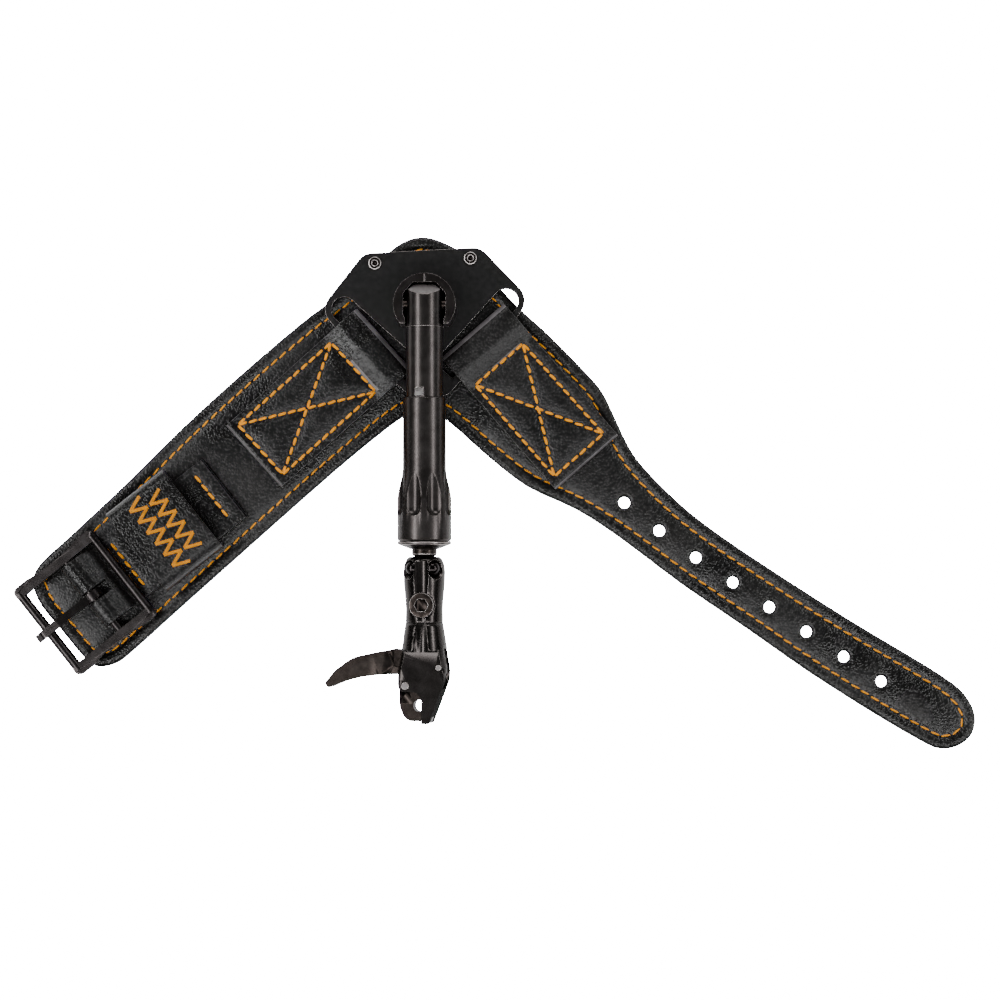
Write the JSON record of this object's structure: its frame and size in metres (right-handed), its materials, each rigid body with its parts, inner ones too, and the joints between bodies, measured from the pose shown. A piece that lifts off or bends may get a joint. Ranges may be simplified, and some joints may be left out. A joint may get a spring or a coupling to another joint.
{
  "type": "archery wrist release",
  "caption": "Buckle wrist strap in stitched leather with a connector plate, a folding and telescoping stem, and a swivelling release head with trigger and hook jaw.",
  "frame": {"origin": "wrist side of the strap, straight below the middle of the turret", "axes": "+Z away from the wrist, -Y along the stem towards the release head, +X towards the tongue of the strap"},
  "size_m": [0.2493, 0.1334, 0.0188],
  "materials": {
    "lining": "soft suede",
    "foam": "closed-cell foam",
    "leather": "pebbled, semi-gloss",
    "buckle": "black semi-gloss coat",
    "plate": "matte black coat",
    "stem": "black anodised, satin",
    "head": "black anodised, satin",
    "dark_steel": "dark oxide",
    "bright_steel": "bare, polished"
  },
  "bodies": {
    "strap": {"strap_liner": "lining", "strap_padding": "foam", "strap_shell": "leather", "left_tab": "leather", "right_tab": "leather", "buckle_tab": "leather", "keeper_loop": "leather", "back_plate": "plate", "connector_plate": "plate", "plate_rivets": "bright_steel", "turret_spindle": "bright_steel", "turret_washer": "bright_steel"},
    "swivel": {"turret": "stem", "fold_pin": "bright_steel"},
    "stem": {"stem_knuckle": "stem", "stem_tube": "stem"},
    "slider": {"barrel": "stem", "snap_ring": "bright_steel", "barrel_end_ring": "stem", "neck_stud": "dark_steel"},
    "head": {"head_yoke": "head", "retaining_balls": "head", "head_screw": "dark_steel", "housing": "head", "fixed_jaw": "dark_steel", "hook_pin": "bright_steel", "hook_spring": "bright_steel", "trigger_pin": "bright_steel", "trigger_spring": "bright_steel"},
    "trigger_blade": {"trigger": "dark_steel", "sear_roller": "bright_steel"},
    "hook": {"hook_jaw": "dark_steel"},
    "buckle": {"buckle_frame": "buckle", "buckle_bar": "buckle"},
    "prong": {"buckle_prong": "buckle"}
  },
  "joints": [
    {"name": "turret_turn", "type": "hinge", "parent": "strap", "child": "swivel", "pos_m": [0, 0, 0.007], "axis": [0, 0, 1], "range_deg": [-20, 20]},
    {"name": "stem_fold", "type": "hinge", "parent": "swivel", "child": "stem", "pos_m": [0, 0, 0.014], "axis": [-1, 0, 0], "range_deg": [0, 95]},
    {"name": "length_slide", "type": "slide", "parent": "stem", "child": "slider", "axis": [0, -0.999, -0.0436], "range_m": [0, 0.012]},
    {"name": "head_spin", "type": "hinge", "parent": "slider", "child": "head", "pos_m": [0, -0.06793, 0.01103], "axis": [0, -0.999, -0.0436], "continuous": true},
    {"name": "trigger_pull", "type": "hinge", "parent": "head", "child": "trigger_blade", "pos_m": [0.00433, -0.09344, 0.01061], "axis": [0.1564, 0.0431, -0.9867], "range_deg": [0, 8], "stiffness_Nm_per_rad": 0.05, "springref_deg": -5.73, "deforming": ["trigger_spring"]},
    {"name": "jaw_open", "type": "hinge", "parent": "head", "child": "hook", "pos_m": [-0.0043, -0.09808, 0.00904], "axis": [0.1564, 0.0431, -0.9867], "range_deg": [0, 40]},
    {"name": "buckle_tilt", "type": "hinge", "parent": "strap", "child": "buckle", "pos_m": [-0.0858, -0.075, 0.0069], "axis": [0.6212, -0.7837, 0], "range_deg": [-2, 2]},
    {"name": "prong_swing", "type": "hinge", "parent": "buckle", "child": "prong", "pos_m": [-0.0858, -0.075, 0.0069], "axis": [-0.6212, 0.7837, 0], "range_deg": [0, 105]}
  ],
  "couplings": [
    {"joint": "jaw_open", "follows": "trigger_pull", "ratio": 5}
  ]
}
